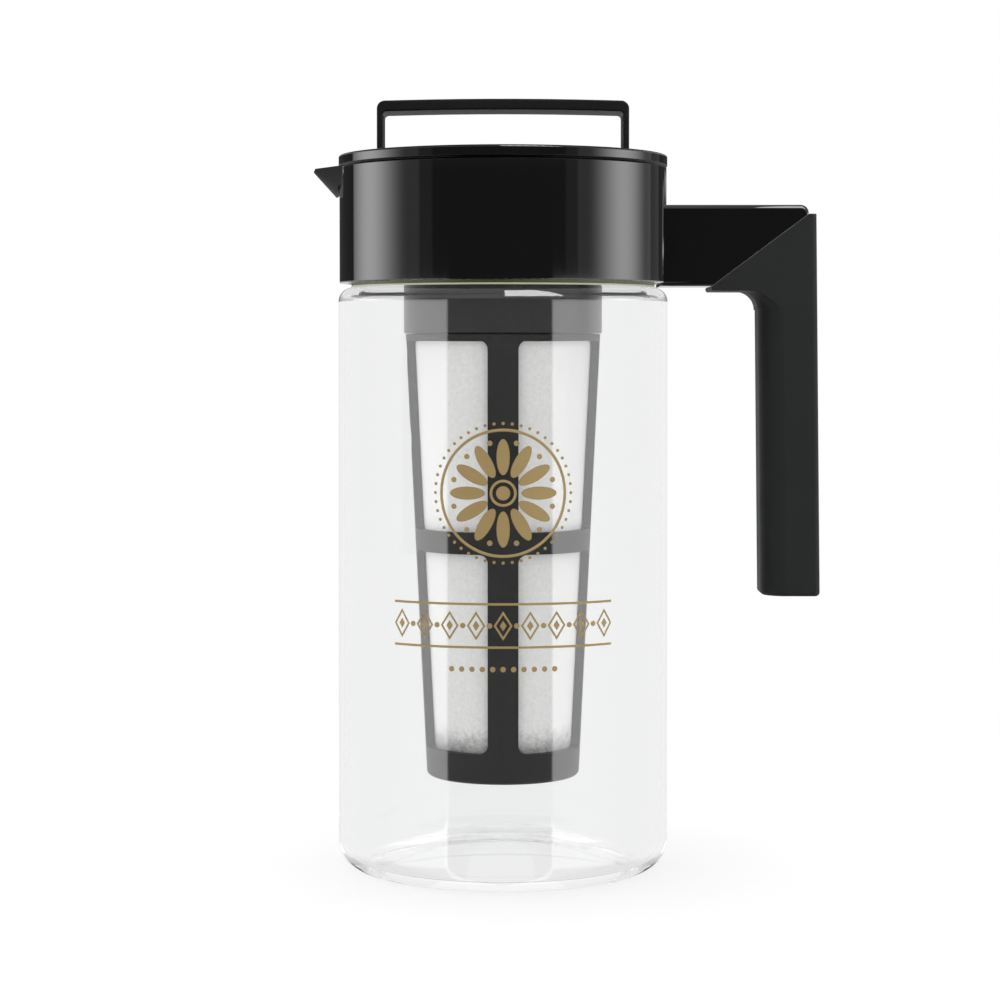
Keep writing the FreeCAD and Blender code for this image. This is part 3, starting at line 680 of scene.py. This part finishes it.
def frieze_tree():
    """Row of lozenges with beads between them, a rule above and below, and a short row of beads under it."""
    sizes = {"Count": 9, "Pitch": 8 * MM, "Half Width": 2 * MM, "Half Height": 4 * MM,
             "Bead Radius": 0.8 * MM, "Rule Offset": 6 * MM, "Rule Half Height": 0.3 * MM,
             "Foot Drop": 12 * MM, "Foot Pitch": 3 * MM, "Foot Count": 11,
             "Height": 0.08, "Radius": 0.05, "Depth": 0.02 * MM}
    tree, entry = new_geometry_tree("lozenge_frieze", sizes)
    last = math_op(tree, "SUBTRACT", entry["Count"], 1)
    span = math_op(tree, "MULTIPLY", last, entry["Pitch"])
    start = math_op(tree, "MULTIPLY", span, -0.5)
    tall = add(tree, "ShaderNodeCombineXYZ", {0: entry["Half Width"], 1: entry["Half Height"], 2: 1.0})
    kernel = add(tree, "ShaderNodeVectorMath", {0: tall.outputs[0], 1: KERNEL_SCALE}, operation="MULTIPLY")
    points = row_of_points(tree, entry["Count"], start, entry["Pitch"])
    lozenges = stamped(tree, points, hoop(tree, 4, 1.0, LOZENGE_BORDER), tall.outputs[0])
    kernels = stamped(tree, points, disc(tree, 4, 1.0), kernel.outputs[0])
    half_step = math_op(tree, "ADD", start, math_op(tree, "MULTIPLY", entry["Pitch"], 0.5))
    gaps = row_of_points(tree, last, half_step, entry["Pitch"])
    beads = stamped(tree, gaps, disc(tree, 14, entry["Bead Radius"]))
    foot_steps = math_op(tree, "SUBTRACT", entry["Foot Count"], 1)
    foot_span = math_op(tree, "MULTIPLY", foot_steps, entry["Foot Pitch"])
    foot_start = math_op(tree, "MULTIPLY", foot_span, -0.5)
    foot_points = row_of_points(tree, entry["Foot Count"], foot_start, entry["Foot Pitch"])
    foot_beads = stamped(tree, foot_points, disc(tree, 14, entry["Bead Radius"]))
    lower = add(tree, "ShaderNodeCombineXYZ", {1: math_op(tree, "MULTIPLY", entry["Foot Drop"], -1)})
    foot_row = add(tree, "GeometryNodeTransform",
                   {"Geometry": foot_beads, "Translation": lower.outputs[0]}).outputs[0]
    rule_length = math_op(tree, "ADD", span, math_op(tree, "MULTIPLY", entry["Half Width"], 2))
    rule_width = math_op(tree, "MULTIPLY", entry["Rule Half Height"], 2)
    strip = add(tree, "GeometryNodeMeshGrid", {"Size X": rule_length, "Size Y": rule_width,
                                               "Vertices X": 97, "Vertices Y": 2}).outputs[0]
    rules = []
    for side in (1, -1):
        lift = add(tree, "ShaderNodeCombineXYZ", {1: math_op(tree, "MULTIPLY", entry["Rule Offset"], side)})
        rules.append(add(tree, "GeometryNodeTransform", {"Geometry": strip,
                                                         "Translation": lift.outputs[0]}).outputs[0])
    marks = joined(tree, (lozenges, kernels, beads, foot_row))
    fine = add(tree, "GeometryNodeSubdivideMesh", {"Mesh": marks, "Level": 2}).outputs[0]
    return printed(tree, entry, joined(tree, [fine] + rules))


def rosette_tree():
    """Ring of petals round a hooped centre, with beads between their tips and a hoop outside."""
    sizes = {"Petals": 12, "Outer Radius": 0.018, "Petal Half Length": 5 * MM, "Petal Half Width": 2 * MM,
             "Bead Radius": 0.8 * MM, "Height": 0.11, "Radius": 0.05, "Depth": 0.02 * MM}
    tree, entry = new_geometry_tree("petal_rosette", sizes)
    outer = entry["Outer Radius"]
    turn = math_op(tree, "DIVIDE", TURN, entry["Petals"])
    spin = math_op(tree, "MULTIPLY", add(tree, "GeometryNodeInputIndex").outputs[0], turn)
    facing = add(tree, "ShaderNodeCombineXYZ", {2: spin}).outputs[0]
    slender = add(tree, "ShaderNodeCombineXYZ", {0: entry["Petal Half Length"], 1: entry["Petal Half Width"],
                                                 2: 1.0}).outputs[0]
    spots = ring_of_points(tree, entry["Petals"], math_op(tree, "MULTIPLY", outer, PETAL_PLACE))
    petals = stamped(tree, spots, disc(tree, 20, 1.0), slender, facing)
    tips = ring_of_points(tree, entry["Petals"], math_op(tree, "MULTIPLY", outer, BEAD_PLACE))
    half_turn = add(tree, "ShaderNodeCombineXYZ", {2: math_op(tree, "MULTIPLY", turn, 0.5)}).outputs[0]
    turned_tips = add(tree, "GeometryNodeTransform", {"Geometry": tips, "Rotation": half_turn}).outputs[0]
    beads = stamped(tree, turned_tips, disc(tree, 14, entry["Bead Radius"]))
    heart = disc(tree, 24, math_op(tree, "MULTIPLY", outer, HEART_RADIUS))
    inner_hoop = hoop(tree, 64, math_op(tree, "MULTIPLY", outer, INNER_HOOP_RADIUS), INNER_HOOP_WIDTH)
    outer_hoop = hoop(tree, 128, outer, OUTER_HOOP_WIDTH)
    rim_spots = ring_of_points(tree, math_op(tree, "MULTIPLY", entry["Petals"], RIM_BEADS_PER_PETAL),
                               math_op(tree, "MULTIPLY", outer, RIM_BEAD_PLACE))
    rim_bead = disc(tree, 10, math_op(tree, "MULTIPLY", entry["Bead Radius"], RIM_BEAD_SCALE))
    rim_beads = stamped(tree, rim_spots, rim_bead)
    marks = joined(tree, (petals, beads, heart, inner_hoop, outer_hoop, rim_beads))
    fine = add(tree, "GeometryNodeSubdivideMesh", {"Mesh": marks, "Level": 2}).outputs[0]
    return printed(tree, entry, fine)


def thread_tree():
    """A ridge wound in a right-handed helix about the Z axis, thinning out at both ends."""
    sizes = {"Root Radius": 0.027, "Bottom": 0.16, "Turns": 2.0, "Pitch": 3 * MM, "Steps": 160,
             "Rise": 0.6 * MM, "Root": 1.5 * MM, "Crest": 0.6 * MM, "Start Angle": 0.0}
    tree, entry = new_geometry_tree("thread_ridge", sizes)
    rows = math_op(tree, "ADD", entry["Steps"], 1)
    grid = add(tree, "GeometryNodeMeshGrid", {"Vertices X": rows, "Vertices Y": THREAD_CORNERS})
    index = add(tree, "GeometryNodeInputIndex").outputs[0]
    column, corner = grid_place(tree, index, THREAD_CORNERS)
    share = math_op(tree, "DIVIDE", column, entry["Steps"])
    from_end = math_op(tree, "MINIMUM", share, math_op(tree, "SUBTRACT", 1.0, share))
    fade = math_op(tree, "MINIMUM", math_op(tree, "MULTIPLY", from_end, THREAD_FADE), 1.0)
    crest = math_op(tree, "MULTIPLY", math_op(tree, "COMPARE", corner, 1.5, 0.6), fade)
    upper = math_op(tree, "LESS_THAN", math_op(tree, "ABSOLUTE", math_op(tree, "SUBTRACT", corner, 2.5)), 1.0)
    side = math_op(tree, "SUBTRACT", math_op(tree, "MULTIPLY", upper, 2), 1)
    width = math_op(tree, "ADD", entry["Root"], math_op(
        tree, "MULTIPLY", crest, math_op(tree, "SUBTRACT", entry["Crest"], entry["Root"])))
    turn = math_op(tree, "MULTIPLY", share, entry["Turns"])
    angle = math_op(tree, "ADD", math_op(tree, "MULTIPLY", turn, TURN), entry["Start Angle"])
    radius = math_op(tree, "ADD", entry["Root Radius"], math_op(tree, "MULTIPLY", crest, entry["Rise"]))
    lift = math_op(tree, "ADD", entry["Bottom"], math_op(tree, "MULTIPLY", turn, entry["Pitch"]))
    height = math_op(tree, "ADD", lift, math_op(
        tree, "MULTIPLY", math_op(tree, "MULTIPLY", side, width), 0.5))
    spot = add(tree, "ShaderNodeCombineXYZ", {
        0: math_op(tree, "MULTIPLY", radius, math_op(tree, "COSINE", angle)),
        1: math_op(tree, "MULTIPLY", radius, math_op(tree, "SINE", angle)), 2: height})
    wound = add(tree, "GeometryNodeSetPosition", {"Geometry": grid.outputs[0], "Position": spot.outputs[0]})
    sealed = add(tree, "GeometryNodeMergeByDistance", {"Geometry": wound.outputs[0], "Distance": 0.001 * MM})
    close_tree(tree, sealed.outputs[0], entry)
    return tree


# ---------------------------------------------------------------- pieces

def make_jug():
    radius = JUG_RADIUS - JUG_SKIN
    dome_radius = (FOOT_INNER ** 2 + PUNT_RISE ** 2) / (2 * PUNT_RISE)
    knee = dome_radius * PUNT_RISE / FOOT_INNER
    dome_round = dome_radius * PUNT_FULLNESS
    side = JUG_RADIUS - JUG_WALL
    neck = JUG_RADIUS - NECK_SETBACK
    bore = neck - JUG_WALL
    ceiling = SHOULDER_HEIGHT - JUG_WALL
    corners = [
        (0, PUNT_RISE), (knee, PUNT_RISE, dome_round), (FOOT_INNER, 0, JUG_WALL),
        (radius, 0, JUG_CORNER), (radius, SHOULDER_HEIGHT, SHOULDER_ROUND), (neck, SHOULDER_HEIGHT),
        (neck, RIM_HEIGHT, JUG_LIP), (bore, RIM_HEIGHT, JUG_LIP), (bore, ceiling, JUG_WALL / 2),
        (side, ceiling, JUG_WALL / 2), (side, JUG_WALL, JUG_CORNER - JUG_WALL),
        (FOOT_INNER, JUG_WALL, 2 * JUG_WALL), (knee, PUNT_RISE + JUG_WALL, dome_round),
        (0, PUNT_RISE + JUG_WALL)]
    piece = turned_piece("jug_wall", corners, FINISHES["clear_jug"], JUG_SEGMENTS, 50)
    return settle(piece, "jug", "clear_jug", "jug_body")


def make_prints():
    wall = {"Radius": JUG_RADIUS - JUG_SKIN + PRINT_LIFT, "Depth": PRINT_DEPTH, "Bead Radius": BEAD_RADIUS}
    frieze = {"Count": FRIEZE_COUNT, "Pitch": FRIEZE_PITCH, "Half Width": LOZENGE_HALF_WIDTH,
              "Half Height": LOZENGE_HALF_HEIGHT, "Rule Offset": RULE_OFFSET,
              "Rule Half Height": RULE_HALF_HEIGHT, "Foot Drop": FRIEZE_HEIGHT - FOOT_ROW_HEIGHT,
              "Foot Pitch": FOOT_ROW_PITCH, "Foot Count": FOOT_ROW_COUNT, "Height": FRIEZE_HEIGHT}
    rosette = {"Petals": PETAL_COUNT, "Outer Radius": ROSETTE_RADIUS, "Petal Half Length": PETAL_HALF_LENGTH,
               "Petal Half Width": PETAL_HALF_WIDTH, "Height": ROSETTE_HEIGHT}
    for name, tree, values in (("printed_frieze", frieze_tree(), frieze),
                               ("printed_rosette", rosette_tree(), rosette)):
        anchor = bpy.data.meshes.new(name + "_anchor")
        settle(grown(name, tree, anchor, {**wall, **values}, GOLD), "jug", "clear_jug")


def make_threads():
    """The filter's ridge outside its neck, and the socket's ridge inside its bore, half a pitch higher."""
    tree = thread_tree()
    neck_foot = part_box("filter_frame")[1].z - NECK_LENGTH
    first = neck_foot + NECK_START
    neck = {"Root Radius": NECK_RADIUS - THREAD_BITE, "Rise": THREAD_RISE + THREAD_BITE,
            "Bottom": first, "Turns": NECK_TURNS}
    socket = {"Root Radius": SOCKET_BORE + THREAD_BITE, "Rise": -THREAD_RISE - THREAD_BITE,
              "Bottom": first + THREAD_PITCH / 2, "Turns": SOCKET_TURNS}
    for name, node, values in (("neck_thread", "filter_frame", neck),
                               ("socket_thread", "filter_socket", socket)):
        anchor = bpy.data.meshes.new(name + "_anchor")
        shared = {"Pitch": THREAD_PITCH, "Steps": int(THREAD_STEPS * values["Turns"]),
                  "Root": THREAD_ROOT, "Crest": THREAD_CREST}
        piece = grown(name, tree, anchor, {**shared, **values}, FINISHES[SLOT_OF[node]])
        faces_outward(piece.data)
        piece.data.shade_smooth()
        piece.data.set_sharp_from_angle(angle=math.radians(30))
        settle(piece, BODY_OF[node], SLOT_OF[node])


def make_washer():
    low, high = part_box("filter_washer")
    bore = NECK_RADIUS - NECK_WALL
    corners = [(bore, low.z, WASHER_BORE_ROUND), (WASHER_RADIUS, low.z, WASHER_ROUND),
               (WASHER_RADIUS, high.z, WASHER_ROUND), (bore, high.z, WASHER_BORE_ROUND)]
    piece = turned_piece("washer_ring", corners, FINISHES["pale_silicone"])
    settle(piece, "washer", "pale_silicone", "filter_washer")


make_jug()
make_prints()
make_threads()
make_washer()
for node, name in (("neck_seal", "seal_ring"), ("upper_gasket", "upper_gasket_ring"),
                   ("lower_gasket", "lower_gasket_ring"), ("upper_mesh", "upper_weave"),
                   ("lower_mesh", "lower_weave"), ("lid_plug", "stopper_wall"),
                   ("filter_socket", "socket_moulding"), ("inlet_plate", "inlet_disc"),
                   ("shutter_ring", "shutter_skirt"), ("filter_frame", "filter_basket")):
    refined(name, node)
refined("lid_disc", "lid_cover", finish="lid_gloss")
refined("lid_arch", "lid_handle", finish="lid_arch")
for node, name in (("collar", "collar_moulding"), ("neck_liner", "liner_moulding"),
                   ("handle_grip", "grip_skin"), ("handle_core", "grip_core"),
                   ("handle_screws", "grip_screws")):
    refined(name, node).visible_glossy = False


# ---------------------------------------------------------------- studio

# Azimuths are in degrees: 0 is the front, + the right
GAP_LEVEL = 0.06                  # in front and behind, between the side lights
SIDE_LIGHTS = (                   # on each side a lamp behind a screen, whose cloth is partly double
    {"lamp": -102, "reach": 33, "level": 4.2, "screen": (-128, -51), "double": (-128, -61)},
    {"lamp": 90, "reach": 30, "level": 4.6, "screen": (45, 140), "double": (54, 125)},
)
CLOTH_LEVEL = 0.15
DOUBLE_LEVEL = 0.3                # added where the cloth is double
LOW_WALL_FRONT = 3.9              # the wall under the screens is brightest in front and falls off to the back
LOW_WALL_BACK = 0.8
LOW_WALL_FALL = (45, 180)
LOW_GAP = (-37.5, 33)             # between these azimuths nothing stands in front of the jug
LOW_GAP_LEVEL = 0.09
LIGHT_FADE = 2.0                  # how soft the edges of screens and wall are
SCREEN_EDGE = (0.0185, 0.0210)    # rise of the line between the low wall and the screens
DOME_EDGE = (0.08, 0.16)          # rise of the soft line between the screens and the dome above them
DOME_LEVEL = 0.8
FLOOR_EDGE = (-0.45, -0.25)       # rise of the soft line under which all is dimmer
FLOOR_SHARE = 0.5
STRIP_ANGLES = (178.825, -178.795)  # azimuths between which the backdrop straight behind the jug is brighter
STRIP_FADE = 0.04
STRIP_LEVEL = 0.95
BACKDROP_LEVEL = 0.75
AMBIENT_LEVEL = 1.2
SOFTBOX_SPAN = (2.0, 44.0)        # degrees round from the front
SOFTBOX_RISE = (0.42, 0.93)       # sine of the height angle
SOFTBOX_LEVEL = 11.0


def side_lights(tree, azimuth):
    """Screens at both sides, each brightest where its lamp stands."""
    total = GAP_LEVEL
    for light in SIDE_LIGHTS:
        distance = math_op(tree, "ABSOLUTE", math_op(tree, "SUBTRACT", azimuth, light["lamp"]))
        brightest = light["level"] + CLOTH_LEVEL
        glow = ramp(tree, distance, (0, light["reach"]), brightest, CLOTH_LEVEL, "SMOOTHSTEP")
        double = window(tree, azimuth, light["double"], LIGHT_FADE)
        cloth = math_op(tree, "ADD", glow, math_op(tree, "MULTIPLY", double, DOUBLE_LEVEL))
        screen = window(tree, azimuth, light["screen"], LIGHT_FADE)
        total = math_op(tree, "ADD", total, math_op(tree, "MULTIPLY", screen, cloth))
    return total


def low_wall(tree, azimuth):
    """White wall all round under the screens, open in front."""
    wall = ramp(tree, math_op(tree, "ABSOLUTE", azimuth), LOW_WALL_FALL, LOW_WALL_FRONT, LOW_WALL_BACK,
                "SMOOTHSTEP")
    return mixed_numbers(tree, window(tree, azimuth, LOW_GAP, LIGHT_FADE), wall, LOW_GAP_LEVEL)


def make_world():
    """White to the eye; mirror rays meet lights, a low wall and a dome, and glass rays a backdrop."""
    world = bpy.data.worlds.new("studio")
    bpy.context.scene.world = world
    world.use_nodes = True
    tree = world.node_tree
    tree.nodes.clear()
    direction = add(tree, "ShaderNodeTexCoord").outputs["Generated"]
    split = add(tree, "ShaderNodeSeparateXYZ", {0: direction})
    rise = split.outputs["Z"]
    front = math_op(tree, "MULTIPLY", split.outputs["Y"], -1)
    azimuth = math_op(tree, "MULTIPLY", math_op(tree, "ARCTAN2", split.outputs["X"], front), 360 / TURN)
    above = ramp(tree, rise, SCREEN_EDGE)
    around = mixed_numbers(tree, above, low_wall(tree, azimuth), side_lights(tree, azimuth))
    domed = mixed_numbers(tree, ramp(tree, rise, DOME_EDGE), around, DOME_LEVEL)
    dimmed = math_op(tree, "MULTIPLY", domed, ramp(tree, rise, FLOOR_EDGE, FLOOR_SHARE, 1.0))
    softbox = math_op(tree, "MULTIPLY", window(tree, azimuth, SOFTBOX_SPAN, 1.0),
                      window(tree, rise, SOFTBOX_RISE, 0.03))
    mirrored = mixed_numbers(tree, softbox, dimmed, SOFTBOX_LEVEL)
    behind = add(tree, "ShaderNodeMath", {0: azimuth, 1: 0.0, 2: 360.0}, operation="WRAP").outputs[0]
    strip = window(tree, behind, (STRIP_ANGLES[0], STRIP_ANGLES[1] + 360), STRIP_FADE)
    backdrop = mixed_numbers(tree, strip, BACKDROP_LEVEL, STRIP_LEVEL)
    path = add(tree, "ShaderNodeLightPath")
    plain = mixed_numbers(tree, path.outputs["Is Camera Ray"], AMBIENT_LEVEL, 1.0)
    reflected = mixed_numbers(tree, path.outputs["Is Glossy Ray"], plain, mirrored)
    level = mixed_numbers(tree, path.outputs["Is Transmission Ray"], reflected, backdrop)
    background = add(tree, "ShaderNodeBackground", {"Color": (1, 1, 1, 1), "Strength": level})
    add(tree, "ShaderNodeOutputWorld", {"Surface": background.outputs[0]})


def make_floor():
    """Round pale floor that shows white and keeps the soft shadow under the jug."""
    mesh = bpy.data.meshes.new("studio_floor")
    work = bmesh.new()
    bmesh.ops.create_circle(work, cap_ends=True, segments=96, radius=FLOOR_RADIUS)
    work.to_mesh(mesh)
    work.free()
    material = bpy.data.materials.new("white_table")
    material.use_nodes = True
    tree = material.node_tree
    tree.nodes.clear()
    matt = add(tree, "ShaderNodeBsdfDiffuse", {"Color": (0.82, 0.82, 0.82, 1)})
    path = add(tree, "ShaderNodeLightPath")
    lift = add(tree, "ShaderNodeEmission", {"Color": (1, 1, 1, 1), "Strength": math_op(
        tree, "MULTIPLY", path.outputs["Is Camera Ray"], FLOOR_LIFT)})
    both = add(tree, "ShaderNodeAddShader", {0: matt.outputs[0], 1: lift.outputs[0]})
    add(tree, "ShaderNodeOutputMaterial", {"Surface": both.outputs[0]})
    floor = place_piece("studio_floor", mesh, material)
    floor.visible_glossy = False
    floor.visible_transmission = False


def make_camera():
    data = bpy.data.cameras.new("studio_camera")
    data.lens = CAMERA_LENS
    data.sensor_width = CAMERA_SENSOR
    data.shift_y = CAMERA_DROP
    data.clip_start, data.clip_end = CAMERA_CLIP
    camera = bpy.data.objects.new("studio_camera", data)
    camera.location = CAMERA_PLACE
    camera.rotation_euler = (math.pi / 2 - CAMERA_PITCH, 0, 0)
    bpy.context.scene.collection.objects.link(camera)
    bpy.context.scene.camera = camera


make_world()
make_floor()
make_camera()
bpy.context.scene.view_settings.view_transform = "Standard"
